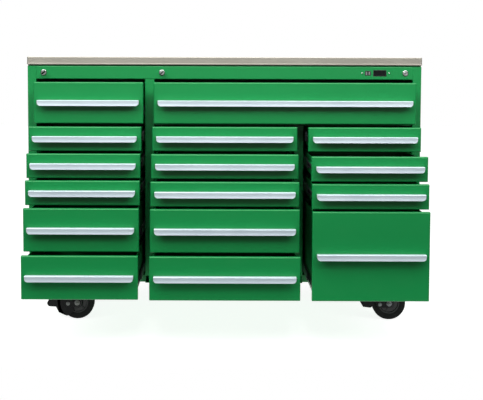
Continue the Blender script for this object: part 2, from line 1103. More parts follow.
    def piece(
        self,
        name: str,
        body: str | None,
        finishes: Sequence[Finish],
        slot: str,
        replaces: Sequence[str] = (),
    ) -> bpy.types.Object:
        """Turn the mesh into a finished piece of the chest.

        Args:
            name: The piece's name.
            body: The CAD body that it rides on, or None if the caller joins it to two.
            finishes: The finish of each look number.
            slot: The record's material slot.
            replaces: CAD nodes that it stands for.

        Returns:
            The new object.
        """
        made = _loose_object(name, self.mesh)
        self.mesh.free()
        for finish in finishes:
            made.data.materials.append(finish.material)
        made.data.polygons.foreach_set("use_smooth", [True] * len(made.data.polygons))
        made.data.set_sharp_from_angle(angle=self.SHARP)
        weights = made.modifiers.new("weighted", "WEIGHTED_NORMAL")
        weights.keep_sharp = True
        if body is not None:
            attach(made, body)
        if replaces:
            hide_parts(*replaces)
        return made


def _loose_object(name: str, mesh: bmesh.types.BMesh) -> bpy.types.Object:
    """A new object in the scene with a copy of a mesh."""
    data = bpy.data.meshes.new(name)
    mesh.to_mesh(data)
    made = bpy.data.objects.new(name, data)
    bpy.context.scene.collection.objects.link(made)
    return made


# --------------------------------------------------------------------------------------
# The chest's sizes
# --------------------------------------------------------------------------------------


@dataclass(frozen=True)
class Box:
    """The two corners of a CAD node at rest, in millimetres."""

    low: Vector
    high: Vector

    @classmethod
    def of(cls, node: str) -> "Box":
        """Read a node's box from the frame."""
        low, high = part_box(node)
        return cls(low / MM, high / MM)


@dataclass(frozen=True)
class Sizes:
    """Sizes shared by several sub-assemblies, as the part's source has them."""

    gauge: float = 1.5
    sheet: float = 1.2
    front_t: float = 20.0
    front_gap: float = 2.0
    box_lap: float = 14.0
    slide_gap: float = 13.0
    slide_h: float = 45.0
    slide_rise: float = 37.0
    slide_short: float = 10.0
    runner_h: float = 18.0
    runner_t: float = 8.0
    trail: float = 44.0
    crown_gap: float = 10.0
    brake_back: float = 20.0
    brake_rise: float = 0.8
    brake_turn: float = 40.0
    fit: float = 0.2


SIZES = Sizes()


# --------------------------------------------------------------------------------------
# Sub-assemblies
# --------------------------------------------------------------------------------------


@dataclass
class Carcass:
    """Painted steel body: hollow side walls, dividers, pans, rails and back."""

    fold: float = 2.6
    screw_r: float = 5.0
    bead_w: float = 26.0
    bead_out: float = 2.2

    def build(self) -> list[bpy.types.Object]:
        """Build all painted parts of the carcass.

        Returns:
            The pieces.
        """
        return [
            *self._sides(),
            *self._dividers(),
            self._back(),
            self._floor_pan(),
            self._cross_rails(),
            self._top_deck(),
        ]

    def _post(self, box: Box, name: str, sign: int) -> bpy.types.Object:
        """A hollow side wall with rounded folds, seam and assembly screws.

        Args:
            box: The wall's box.
            name: The CAD node it stands for.
            sign: -1 for the left wall and 1 for the right one.

        Returns:
            The piece.
        """
        shape = Shape()
        low, high = box.low, box.high
        outline = rect(low.x, low.y, high.x, high.y, self.fold, 4)
        shape.slab(outline, Axis.Z, low.z, high.z, 0.8)
        face = high.x if sign > 0 else low.x
        for z in (low.z + 60, (low.z + high.z) / 2, high.z - 60):
            for y in (low.y + 42, high.y - 42):
                shape.screw((face, y, z), Axis.X, self.screw_r, sign)
        # lapped seam where the outer sheet is folded round the back
        seam = (face + 0.7 * min(sign, 0), face + 0.7 * max(sign, 0))
        shape.box((seam[0], high.y - 20, low.z + 2), (seam[1], high.y - 1.5, high.z - 2), 0.3, 1)
        return shape.piece(name + "_shell", "cabinet", [Finish.GREEN], "paint", [name])

    def _sides(self) -> list[bpy.types.Object]:
        """The two side walls."""
        return [
            self._post(Box.of("side_panel_left"), "side_panel_left", -1),
            self._post(Box.of("side_panel_right"), "side_panel_right", 1),
        ]

    def _dividers(self) -> list[bpy.types.Object]:
        """The two dividers, each stepped back over the floor pan."""
        pieces = []
        pan = Box.of("floor_pan")
        for name in ("divider_left", "divider_right"):
            box, shape = Box.of(name), Shape()
            low, high = box.low, box.high
            outline = rect(low.x, low.y, high.x, high.y, self.fold, 4)
            foot = pan.low.z + SIZES.gauge + SIZES.fit
            shape.slab(outline, Axis.Z, foot, high.z, 0.5)
            lip = rect(low.x, low.y, high.x, pan.low.y - SIZES.fit, 0.4, 1)
            shape.slab(lip, Axis.Z, low.z, foot + 30, 0.3)
            pieces.append(shape.piece(name + "_shell", "cabinet", [Finish.GREEN], "paint", [name]))
        return pieces

    def _back(self) -> bpy.types.Object:
        """The back sheet with pressed beads and a row of rivets."""
        box, shape = Box.of("back_panel"), Shape()
        low, high = box.low, box.high
        shape.slab(rect(low.x, low.z, high.x, high.z, 1.5, 2), Axis.Y, low.y, high.y, 0.4)
        width = high.x - low.x
        for i in range(5):
            x = low.x + width * (i + 1) / 6
            loops = []
            for by, out in ((0.0, -0.4), (0.6, 0.2), (4.0, 1.4), (8.0, self.bead_out)):
                ring = rect(
                    x - self.bead_w / 2 + by,
                    low.z + 110 + by,
                    x + self.bead_w / 2 - by,
                    high.z - 110 - by,
                    self.bead_w / 2 - by,
                    6,
                )
                loops.append([Axis.Y.at(u, v, high.y + out) for u, v in ring])
            shape.loft(loops)
        columns = 12
        for i in range(columns + 1):
            x = low.x + 18 + (width - 36) * i / columns
            for z in (low.z + 14, high.z - 14):
                shape.screw((x, high.y, z), Axis.Y, 3.2)
        for i in range(1, 7):
            z = low.z + (high.z - low.z) * i / 7
            for x in (low.x + 18, high.x - 18):
                shape.screw((x, high.y, z), Axis.Y, 3.2)
        return shape.piece("back_sheet", "cabinet", [Finish.GREEN], "paint", ["back_panel"])

    def _floor_pan(self) -> bpy.types.Object:
        """The tray under the drawers, with folded edges."""
        box, shape = Box.of("floor_pan"), Shape()
        low, high, t = box.low, box.high, SIZES.gauge
        stations = [
            (0.0, low.z + 1.2),
            (0.0, high.z - 0.3),
            (0.3, high.z),
            (t - 0.3, high.z),
            (t, high.z - 0.3),
            (t, low.z + t + 1.2),
            (t + 0.4, low.z + t + 0.4),
            (t + 1.2, low.z + t),
        ]
        outer = [(1.2, low.z), (0.4, low.z + 0.4)]
        shape.stepped(low.xy, high.xy, (2.2, 3), Axis.Z, outer + stations)
        return shape.piece("floor_tray", "cabinet", [Finish.GREEN], "paint", ["floor_pan"])

    def _cross_rails(self) -> bpy.types.Object:
        """The two channels under the wide drawer."""
        box, shape = Box.of("cross_rails"), Shape()
        low, high, t = box.low, box.high, SIZES.gauge
        depth = 40.0
        for y0 in (low.y, high.y - depth):
            path = [
                (y0 + t / 2, low.z),
                (y0 + t / 2, high.z - t / 2),
                (y0 + depth - t / 2, high.z - t / 2),
                (y0 + depth - t / 2, low.z),
            ]
            shape.slab(ribbon(bends(path, 2.0), t), Axis.X, low.x, high.x)
        return shape.piece("cross_channels", "cabinet", [Finish.GREEN], "paint", ["cross_rails"])

    def _top_deck(self) -> bpy.types.Object:
        """The recessed deck that lifts the worktop."""
        box, shape = Box.of("top_deck"), Shape()
        low, high = box.low, box.high
        shape.slab(rect(low.x, low.y, high.x, high.y, 3, 3), Axis.Z, low.z, high.z, 0.8)
        return shape.piece("deck_pan", "cabinet", [Finish.GREEN], "paint", ["top_deck"])


@dataclass
class Worktop:
    """Stainless sheet folded over a board, with hemmed lower edges."""

    fold: float = 3.0
    hem_h: float = 5.0
    hem_out: float = 0.9

    def build(self) -> list[bpy.types.Object]:
        """Build the sheet and the board.

        Returns:
            The pieces.
        """
        return [self._skin(), self._core()]

    def _skin(self) -> bpy.types.Object:
        """The folded sheet, open below, with a hem round its lower edge."""
        box, shape = Box.of("worktop_skin"), Shape()
        low, high, t, r = box.low, box.high, SIZES.sheet, self.fold
        out = self.hem_out
        # the flank leans out by the hem's step as it comes round the upper fold
        profile = [(by + out * i / 6, high.z - down) for i, (down, by) in enumerate(bevel(r, 6))]
        profile += [
            (out, low.z + self.hem_h + 1.0),
            (0.0, low.z + self.hem_h),
            (0.0, low.z + 0.8),
            (0.8, low.z),
            (8.0, low.z),
            (8.0, low.z + t),
            (t + out, low.z + t),
            (t + out, high.z - t),
        ]
        shape.stepped(low.xy, high.xy, (4.0, 5), Axis.Z, profile)
        return shape.piece("worktop_sheet", "cabinet", [Finish.TOP], "stainless", ["worktop_skin"])

    def _core(self) -> bpy.types.Object:
        """The pressed board inside the sheet."""
        box, shape = Box.of("worktop_core"), Shape()
        low, high = box.low, box.high
        shape.slab(rect(low.x + 2, low.y + 2, high.x - 2, high.y - 2, 4, 3), Axis.Z, low.z + 1.4, high.z, 0.5)
        return shape.piece("worktop_board", "cabinet", [Finish.BOARD], "board", ["worktop_core"])


@dataclass(frozen=True)
class PanelPlaces:
    """Where the fascia's locks and outlets sit."""

    middle_z: float
    face_y: float
    window: tuple[float, float, float]
    port: tuple[float, float, float]
    lock_x: tuple[float, ...]

    @classmethod
    def read(cls) -> "PanelPlaces":
        """Measure the lock faces and the housing.

        Returns:
            The places, with (middle x, width, height) of the two openings.
        """
        fascia, housing = Box.of("control_fascia"), Box.of("power_outlets")
        barrels, face_r = Box.of("lock_barrels"), 13.0
        left_x = barrels.low.x + face_r
        middle_x = left_x + Box.of("drawer_wide").low.x - Box.of("drawer_left_1").low.x
        # the screws stand outside the openings by half their head and a fixed step
        step, head, window_w, port_w = 12.0, 3.5, 58.0, 26.0
        window_x = housing.high.x - head - step - window_w / 2
        port_x = housing.low.x + head + step + port_w / 2
        return cls(
            middle_z=(fascia.low.z + fascia.high.z) / 2,
            face_y=fascia.low.y,
            window=(window_x, window_w, 28.0),
            port=(port_x, port_w, 20.0),
            lock_x=(left_x, middle_x, barrels.high.x - face_r),
        )


@dataclass
class Fascia:
    """Folded panel under the worktop, drilled for the locks and cut for the outlets."""

    places: PanelPlaces
    bend: float = 3.2
    hole_r: float = 9.7

    def build(self) -> list[bpy.types.Object]:
        """Build the panel.

        Returns:
            The piece in a list.
        """
        box, shape = Box.of("control_fascia"), Shape()
        low, high, t = box.low, box.high, SIZES.gauge
        path = [
            (high.y, low.z + t / 2),
            (low.y + t / 2, low.z + t / 2),
            (low.y + t / 2, high.z - t / 2),
            (high.y, high.z - t / 2),
        ]
        shape.slab(ribbon(bends(path, self.bend, 6), t), Axis.X, low.x, high.x)
        cutters = Shape()
        mid = self.places.middle_z
        for x in self.places.lock_x:
            cutters.lathe([(self.hole_r, -4.0), (self.hole_r, 4.0)], (x, low.y, mid), Axis.Y, 32)
        for x, w, h in (self.places.window, self.places.port):
            hole = rect(x - w / 2, mid - h / 2, x + w / 2, mid + h / 2, 2.5, 4)
            cutters.slab(hole, Axis.Y, low.y - 4, low.y + 4)
        shape.less(cutters)
        return [shape.piece("fascia_sheet", "cabinet", [Finish.GREEN], "paint", ["control_fascia"])]


@dataclass
class PowerPanel:
    """Outlet housing behind the fascia: a tinted window, a twin port and two screws."""

    places: PanelPlaces
    proud: float = 0.8

    def build(self) -> list[bpy.types.Object]:
        """Build the housing with its window, port and screws.

        Returns:
            The piece in a list.
        """
        shape, p = Shape(), self.places
        box = Box.of("power_outlets")
        face, mid = p.face_y - self.proud, p.middle_z
        back = p.face_y + SIZES.gauge + SIZES.fit
        (wx, ww, wh), (px, pw, ph) = p.window, p.port
        low_x, high_x = px - pw / 2 - 4, wx + ww / 2 + 4
        shape.box((low_x, back, mid - wh / 2 - 4), (high_x, box.high.y, mid + wh / 2 + 4), 1.5)
        for x, w, h in (p.window, p.port):
            self._frame(shape, x, w - 0.4, h - 0.4, face, back + 0.5)
        shape.look = 1
        inner = rect(wx - ww / 2 + 3, mid - wh / 2 + 3, wx + ww / 2 - 3, mid + wh / 2 - 3, 2.2, 4)
        shape.slab(inner, Axis.Y, face + 1.0, back + 0.4, 0.5)
        shape.look = 0
        inner = rect(px - pw / 2 + 2.4, mid - ph / 2 + 2.4, px + pw / 2 - 2.4, mid + ph / 2 - 2.4, 1, 2)
        shape.slab(inner, Axis.Y, face + 1.4, back + 0.4, 0.3)
        shape.look = 2
        for x in (px - pw / 4, px + pw / 4):
            self._socket(shape, x, mid, face)
        for x in (box.low.x + 3.5, box.high.x - 3.5):
            shape.screw((x, p.face_y, mid), Axis.Y, 3.5, -1)
        finishes = [Finish.PLASTIC, Finish.WINDOW, Finish.CHROME]
        return [shape.piece("power_unit", "cabinet", finishes, "black_plastic", ["power_outlets"])]

    def _frame(self, shape: Shape, x: float, w: float, h: float, face: float, back: float) -> None:
        """A rounded bezel round one opening.

        Args:
            shape: The mesh to add to.
            x: Middle of the opening.
            w: Its width.
            h: Its height.
            face: Front of the bezel.
            back: Foot of the bezel.
        """
        mid = self.places.middle_z
        stations = [(0.0, back), (0.0, face + 0.5), (0.5, face), (1.9, face), (2.4, face + 0.5), (2.4, back)]
        low, high = (x - w / 2, mid - h / 2), (x + w / 2, mid + h / 2)
        shape.stepped(low, high, (2.3, 4), Axis.Y, stations, ring=True)

    @staticmethod
    def _socket(shape: Shape, x: float, mid: float, face: float) -> None:
        """The metal shell of one upright socket with its tongue.

        Args:
            shape: The mesh to add to.
            x: Middle of the socket.
            mid: Its height.
            face: Front of the bezel.
        """
        stations = [(0.0, face + 3.0), (0.0, face + 0.9), (0.7, face + 0.9), (0.7, face + 3.0)]
        low, high = (x - 2.6, mid - 6.4), (x + 2.6, mid + 6.4)
        shape.stepped(low, high, (0.8, 2), Axis.Y, stations, ring=True)
        shape.box((x - 1.3, face + 1.0, mid - 5.0), (x + 1.3, face + 3.0, mid + 5.0), 0.3, 1)


@dataclass
class Locks:
    """Three cylinder locks, two with a key in them."""

    places: PanelPlaces
    face_r: float = 13.0
    face_t: float = 3.0
    plug_r: float = 6.0
    key_turn: float = 45.0

    def build(self) -> list[bpy.types.Object]:
        """Build the barrels, then each plug.

        Returns:
            The pieces.
        """
        pieces = [self._barrels()]
        names = ("left", "middle", "right")
        for name, x in zip(names, self.places.lock_x):
            pieces.append(self._plug(name, x, name != "right"))
        return pieces

    def _barrels(self) -> bpy.types.Object:
        """Polished faces, threaded shanks and nuts."""
        shape, p = Shape(), self.places
        bore = self.plug_r + 0.12
        for x in p.lock_x:
            centre = (x, p.face_y - SIZES.fit, p.middle_z)
            t, r = self.face_t, self.face_r
            profile = [
                (bore, 22.0),
                (9.5, 22.0),
                (9.5, 0.0),
                (r - 0.3, 0.0),
                (r, -0.4),
                (r, -t + 1.6),
                (r - 0.5, -t + 0.7),
                (r - 1.6, -t + 0.15),
                (r - 2.8, -t),
                (r - 3.3, -t + 0.5),
                (r - 4.0, -t + 0.5),
                (r - 4.5, -t + 0.05),
                (bore + 0.4, -t + 0.05),
                (bore, -t + 0.4),
            ]
            shape.lathe(profile, centre, Axis.Y, 48, ring=True)
            nut = [(9.6, 1.9), (13.0, 1.9), (13.0, 5.6), (12.4, 5.9), (9.6, 5.9)]
            shape.lathe(nut, centre, Axis.Y, 6, ring=True)
        return shape.piece("lock_bodies", "cabinet", [Finish.CHROME], "lock_chrome", ["lock_barrels"])

    def _plug(self, name: str, x: float, keyed: bool) -> bpy.types.Object:
        """A turning plug with its keyway, cam and, if it has one, its key.

        Args:
            name: The lock's name.
            x: Its place.
            keyed: Whether a key stands in it.

        Returns:
            The piece.
        """
        p, shape = self.places, Shape()
        face = p.face_y - SIZES.fit - self.face_t - 0.6
        mid, r = p.middle_z, self.plug_r
        centre = (x, face, mid)
        profile = [(r - 0.6, 0.0), (r, 0.6), (r, 29.0), (r - 0.4, 29.0)]
        shape.lathe(profile, centre, Axis.Y, 36)
        cutter = Shape()
        half = 1.3
        cutter.slab(rect(x - half, mid - 3.8, x + half, mid + 3.8), Axis.Y, face - 2, face + 6)
        shape.less(cutter)
        shape.look = 1
        shape.slab(rect(x - half + 0.1, mid - 3.7, x + half - 0.1, mid + 3.7), Axis.Y, face + 4, face + 5.5)
        shape.look = 0
        shape.slab(rect(x - 6, mid - 5, x + 6, mid + 17, 5, 5), Axis.Y, face + 26, face + 28.4, 0.4)
        if keyed:
            shape.look = 2
            self._key(shape, x, face, mid)
        shape.turned(centre, Axis.Y, self.key_turn if keyed else 90)
        finishes = [Finish.CHROME, Finish.PLASTIC, Finish.KEY]
        body = "lock_plug_" + name
        return shape.piece("lock_core_" + name, body, finishes, "lock_chrome", [body])

    @staticmethod
    def _key(shape: Shape, x: float, face: float, mid: float) -> None:
        """A key's blade, shoulder and round head with its hole.

        Args:
            shape: The mesh to add to.
            x: The lock's place.
            face: Front of the plug.
            mid: Height of the lock.
        """
        blade = rect(face - 2.0, mid - 3.4, face + 5.0, mid + 3.4, 0.5, 2)
        shape.slab(blade, Axis.X, x - 1.1, x + 1.1, 0.2, 1)
        shoulder = rect(face - 5.5, mid - 5.0, face - 1.2, mid + 5.0, 1.2, 2)
        shape.slab(shoulder, Axis.X, x - 1.4, x + 1.4, 0.3, 1)
        bow = [(min(max(u, -11.4), 11.4), v) for u, v in around(12.6, 40)]
        head, hole = face - 15.0, around(3.0, 40)
        loops = []
        for by, at in ((0.5, -1.7), (0.0, -1.2), (0.0, 1.2), (0.5, 1.7)):
            scale = (12.6 - by) / 12.6
            loops.append([Vector((x + at, head + v * scale, mid + u * scale)) for u, v in bow])
        for by, at in ((0.3, 1.7), (0.0, 1.4), (0.0, -1.4), (0.3, -1.7)):
            scale = (3.0 + by) / 3.0
            loops.append([Vector((x + at, head - 5.0 + v * scale, mid + u * scale)) for u, v in hole])
        shape.loft(loops, ring=True)


@dataclass(frozen=True)
class DrawerPlace:
    """One drawer's sizes and place at rest, read from its CAD node."""

    name: str
    x0: float
    x1: float
    y0: float
    y1: float
    z0: float
    z1: float

    @classmethod
    def read(cls, name: str) -> "DrawerPlace":
        """Measure one drawer."""
        box = Box.of("drawer_" + name)
        return cls(name, box.low.x, box.high.x, box.low.y, box.high.y, box.low.z, box.high.z)

    @property
    def body(self) -> str:
        """The CAD body's name."""
        return "drawer_" + self.name

    @property
    def slide_z(self) -> float:
        """Height of the slides' middle."""
        return self.z0 + SIZES.box_lap + SIZES.slide_rise

    @property
    def box_x(self) -> tuple[float, float]:
        """The two sides of the drawer's box."""
        step = SIZES.slide_gap - SIZES.front_gap
        return self.x0 + step, self.x1 - step

    @property
    def box_y(self) -> tuple[float, float]:
        """Front and back of the drawer's box."""
        return self.y0 + SIZES.front_t + SIZES.fit, self.y1

    @property
    def slide_l(self) -> float:
        """Length of each slide member."""
        return self.box_y[1] - self.box_y[0] - SIZES.slide_short


@dataclass
class Drawer:
    """One drawer: rounded front, folded box, slide members, liner and pull."""

    place: DrawerPlace
    edge_r: float = 5.0
    corner_r: float = 2.4
    hem: float = 3.6
    liner_t: float = 2.0

    def build(self) -> list[bpy.types.Object]:
        """Build the drawer's pieces.

        Returns:
            The pieces.
        """
        return [self._front(), self._box(), self._runners(), self._liner()]

    def _front(self) -> bpy.types.Object:
        """The folded front pan with rounded outer edges and turned-in flanges."""
        p, shape, t, r = self.place, Shape(), SIZES.sheet, self.edge_r
        depth, flange = SIZES.front_t, 9.0
        stations = bevel(r, 7)[::-1]
        stations += [(0.0, depth - 1.0), (0.3, depth - 0.3), (1.0, depth)]
        stations += [(flange, depth), (flange, depth - t)]
        stations += [(t, depth - t), (t, r)]
        stations += [(t + by, t + y) for by, y in bevel(r - t, 3)][1:]
        loops = []
        for by, y in stations:
            corner = max(self.corner_r - by * 0.4, 0.6)
            ring = rect(p.x0 + by, p.z0 + by, p.x1 - by, p.z1 - by, corner, 3)
            loops.append([Axis.Y.at(u, v, p.y0 + y) for u, v in ring])
        shape.loft(loops)
        return shape.piece(
            f"drawer_{p.name}_front", p.body, [Finish.GREEN], "paint", ["drawer_" + p.name]
        )

    def _wall(self, at: float, low: float, high: float, inward: int) -> list[Point2]:
        """The outline of a wall sheet with a stiffening bead and a hemmed top.

        Args:
            at: Outer face of the wall.
            low: Its foot.
            high: Its top.
            inward: 1 or -1, the side on which the hem and bead lie.

        Returns:
            The outline, in (across, height).
        """
        t, s = SIZES.sheet, inward
        line = at + s * t / 2
        bead = high - 22
        path = [
            (line, low),
            (line, bead - 7),
            (line + s * 1.8, bead - 4),
            (line + s * 1.8, bead + 4),
            (line, bead + 7),
            (line, high - t / 2),
            (line + s * self.hem, high - t / 2),
            (line + s * self.hem, high - 9),
        ]
        return ribbon(bends(path, 1.6, 3), t)

    def _box(self) -> bpy.types.Object:
        """Side, back and front sheets and the bottom of the box."""
        p, shape, t = self.place, Shape(), SIZES.sheet
        (x0, x1), (y0, y1) = p.box_x, p.box_y
        z0, z1 = p.z0 + SIZES.box_lap, p.z1 - SIZES.box_lap
        gap = t + SIZES.fit
        for x, side in ((x0, 1), (x1, -1)):
            shape.slab(self._wall(x, z0, z1, side), Axis.Y, y0 + gap, y1 - gap)
        shape.slab(self._wall(y1, z0, z1, -1), Axis.X, x0, x1)
        shape.slab(self._wall(y0, z0, z1, 1), Axis.X, x0, x1)
        bottom = rect(x0 + gap, y0 + gap, x1 - gap, y1 - gap, 2, 2)
        shape.slab(bottom, Axis.Z, z0, z0 + t, 0.3, 1)
        for x, side in ((x0 + t, 1), (x1 - t, -1)):
            for y in (y0 + 40, (y0 + y1) / 2, y1 - 40):
                shape.screw((x, y, p.slide_z), Axis.X, 3.4, side)
        return shape.piece(f"drawer_{p.name}_box", p.body, [Finish.GREEN], "paint")

    def _runners(self) -> bpy.types.Object:
        """The slide members on the two sides of the box."""
        p, shape = self.place, Shape()
        x0, x1 = p.box_x
        t, half, depth = 1.2, SIZES.runner_h / 2, SIZES.runner_t
        start = p.box_y[0]
        for wall, side in ((x0 - SIZES.fit, -1), (x1 + SIZES.fit, 1)):
            web = wall + side * t / 2
            lip = wall + side * (depth - t / 2)
            path = channel(web, lip, p.slide_z, half, 3.4, t)
            outline = ribbon(bends(path, 1.6, 3), t)
            shape.slab(outline, Axis.Y, start, start + p.slide_l)
            # black catch that frees the drawer from its slide
            shape.look = 1
            cx = wall + side * (t + 1.6)
            low = (min(cx - 1.4, cx + 1.4), start + 12, p.slide_z - 3)
            shape.box(low, (low[0] + 2.8, start + 64, p.slide_z + 3), 0.8)
            shape.look = 0
        finishes = [Finish.ZINC, Finish.PLASTIC]
        return shape.piece(f"drawer_{p.name}_runners", p.body, finishes, "slide_steel")

    def _liner(self) -> bpy.types.Object:
        """The ribbed mat on the drawer's bottom."""
        p, shape = self.place, Shape()
        (x0, x1), (y0, y1) = p.box_x, p.box_y
        z = p.z0 + SIZES.box_lap + SIZES.sheet + 0.3
        outline = rect(x0 + 7, y0 + 7, x1 - 7, y1 - 7, 4, 4)
        shape.slab(outline, Axis.Z, z, z + self.liner_t, 0.6)
        return shape.piece(f"drawer_{p.name}_liner", p.body, [Finish.LINER], "black_plastic")


@dataclass
class Pull:
    """Full-width pull: back plate, top and hanging face bent from one strip."""

    name: str
    thick: float = 2.4
    bend: float = 2.2
    corner: float = 13.0
    dish: float = 1.1

    def build(self) -> bpy.types.Object:
        """Build the pull as one strip with shaped ends.

        Returns:
            The piece.
        """
        box, shape = Box.of("pull_" + self.name), Shape()
        low, high, t = box.low, box.high, self.thick
        path = [
            (high.y - t / 2, low.z),
            (high.y - t / 2, high.z - t / 2),
            (low.y + t / 2, high.z - t / 2),
            (low.y + t / 2, low.z),
        ]
        line = bends(path, self.bend, 5)
        line = self._dished(self._denser(line, low.z), low.z, high.z)
        sides = _normals(line, False)
        loops = []
        for (y, z), side in zip(line, sides):
            step, cut = side * t / 2, self._cut(z - low.z)
            x0, x1 = low.x + cut, high.x - cut
            outer, inner = (y - step.x, z - step.y), (y + step.x, z + step.y)
            loops.append([Vector(p) for p in ((x0, *outer), (x1, *outer), (x1, *inner), (x0, *inner))])
        shape.loft(loops)
        return shape.piece(
            "pull_" + self.name + "_strip",
            "drawer_" + self.name,
            [Finish.PULL],
            "pull_metal",
            ["pull_" + self.name],
        )

    def _denser(self, line: list[Point2], foot: float) -> list[Point2]:
        """Add points where the ends are round, so that the corners are smooth."""
        steps = [foot + self.corner * (1 - math.cos(a)) for a in quarter(8)][1:]
        back, face = line[0][0], line[-1][0]
        rise = [(back, z) for z in steps]
        fall = [(face, z) for z in reversed(steps)]
        return [line[0], *rise, *line[1:-1], *fall, line[-1]]

    def _dished(self, line: list[Point2], foot: float, top: float) -> list[Point2]:
        """Sink the middle of the hanging face a little behind its edges."""
        front, made = line[-1][0], []
        for y, z in line:
            sink = self.dish * math.sin(math.pi * (z - foot) / (top - foot)) if y < front + 0.1 else 0.0
            made.append((y + sink, z))
        return made

    def _cut(self, up: float) -> float:
        """How far an end is cut back, at a height above the pull's foot."""
        r = self.corner
        return r - math.sqrt(max(r * r - (r - up) ** 2, 0.0)) if up < r else 0.0


@dataclass
class Slides:
    """The ball-bearing slides' members on the carcass and between it and the drawers."""

    front: float
    drawers: Sequence[DrawerPlace]
    channel: float = 9.5

    def build(self) -> list[bpy.types.Object]:
        """Build the carcass members, then each drawer's middle members.

        Returns:
            The pieces.
        """
        pieces = [self._outer()]
        for place in self.drawers:
            pieces.append(self._middle(place))
        return pieces

    def _walls(self, place: DrawerPlace) -> tuple[tuple[float, int], tuple[float, int]]:
        """The two bay walls of a drawer, each with the direction into the bay."""
        gap = SIZES.front_gap
        return (place.x0 - gap, 1), (place.x1 + gap, -1)

    def _outer(self) -> bpy.types.Object:
        """All channels that are screwed to the carcass."""
        shape = Shape()
        start = self.front + SIZES.front_t + SIZES.fit
        t, half = 1.5, SIZES.slide_h / 2
        for place in self.drawers:
            z = place.slide_z
            for wall, side in self._walls(place):
                web = wall + side * (SIZES.fit + t / 2)
                lip = wall + side * (self.channel + SIZES.fit - t / 2)
                path = channel(web, lip, z, half, 5.0, t)
                shape.slab(ribbon(bends(path, 2.4, 4), t), Axis.Y, start, start + place.slide_l)
                face = web + side * t / 2
                for y in (start + 22, start + 150, start + place.slide_l - 30):
                    shape.screw((face, y, z), Axis.X, 4.0, side)
        return shape.piece("slide_channels", "cabinet", [Finish.ZINC], "slide_steel", ["cabinet_slides"])

    def _middle(self, place: DrawerPlace) -> bpy.types.Object:
        """The two members that run out half as far as the drawer.

        Args:
            place: The drawer.

        Returns:
            The piece, shared between the cabinet and the drawer.
        """
        shape = Shape()
        closed = self.front + SIZES.front_t + SIZES.fit
        start = (closed + place.box_y[0]) / 2
        t, half, z = 1.2, 16.2, place.slide_z
        for wall, side in self._walls(place):
            web = wall + side * 2.9
            lip = wall + side * 8.2
            path = channel(web, lip, z, half, 3.6, t)
            shape.slab(ribbon(bends(path, 1.8, 3), t), Axis.Y, start, start + place.slide_l)
            # ball cages along both raceways
            for way in (-1, 1):
                row = z + way * (half + 2.2)
                for k in range(6):
                    y = start + 14 + k * 12
                    self._ball(shape, (wall + side * 5.4, y, row), 1.7)
        made = shape.piece(f"slide_middle_{place.name}", None, [Finish.ZINC], "slide_steel")
        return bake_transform(made)

    @staticmethod
    def _ball(shape: Shape, centre: Point3, radius: float) -> None:
        """One bearing ball."""
        turns = [math.radians(a) for a in (15, 45, 75, 105, 135, 165)]
        profile = [(radius * math.sin(a), -radius * math.cos(a)) for a in turns]
        shape.lathe(profile, centre, Axis.Z, 8)


@dataclass(frozen=True)
class CasterPlace:
    """One caster's place, read from its CAD nodes."""

    name: str
    pin: Point2
    axle_x: float
    radius: float
    width: float
    plate_top: float

    @classmethod
    def read(cls, name: str) -> "CasterPlace":
        """Measure one caster.

        Args:
            name: Corner of the chest, such as front_left.

        Returns:
            Its place.
        """
        wheel, plates = Box.of("caster_wheel_" + name), Box.of("caster_plates")
        y = (wheel.low.y + wheel.high.y) / 2
        axle = (wheel.low.x + wheel.high.x) / 2
        return cls(
            name=name,
            pin=(axle - SIZES.trail, y),
            axle_x=axle,
            radius=(wheel.high.z - wheel.low.z) / 2,
            width=wheel.high.y - wheel.low.y,
            plate_top=plates.high.z,
        )

    @property
    def crown(self) -> float:
        """Height of the underside of the fork's crown."""
        return 2 * self.radius + SIZES.crown_gap

    @property
    def brake_pin(self) -> Point2:
        """Where the brake lever turns, as (x, height)."""
        return self.axle_x - SIZES.brake_back, self.radius * (1 + SIZES.brake_rise)

    @property
    def braked(self) -> bool:
        """Whether the caster has a brake."""
        return self.name.startswith("front")

    @property
    def brake_up(self) -> bool:
        """Whether its brake stands up at rest."""
        return self.name == "front_right"


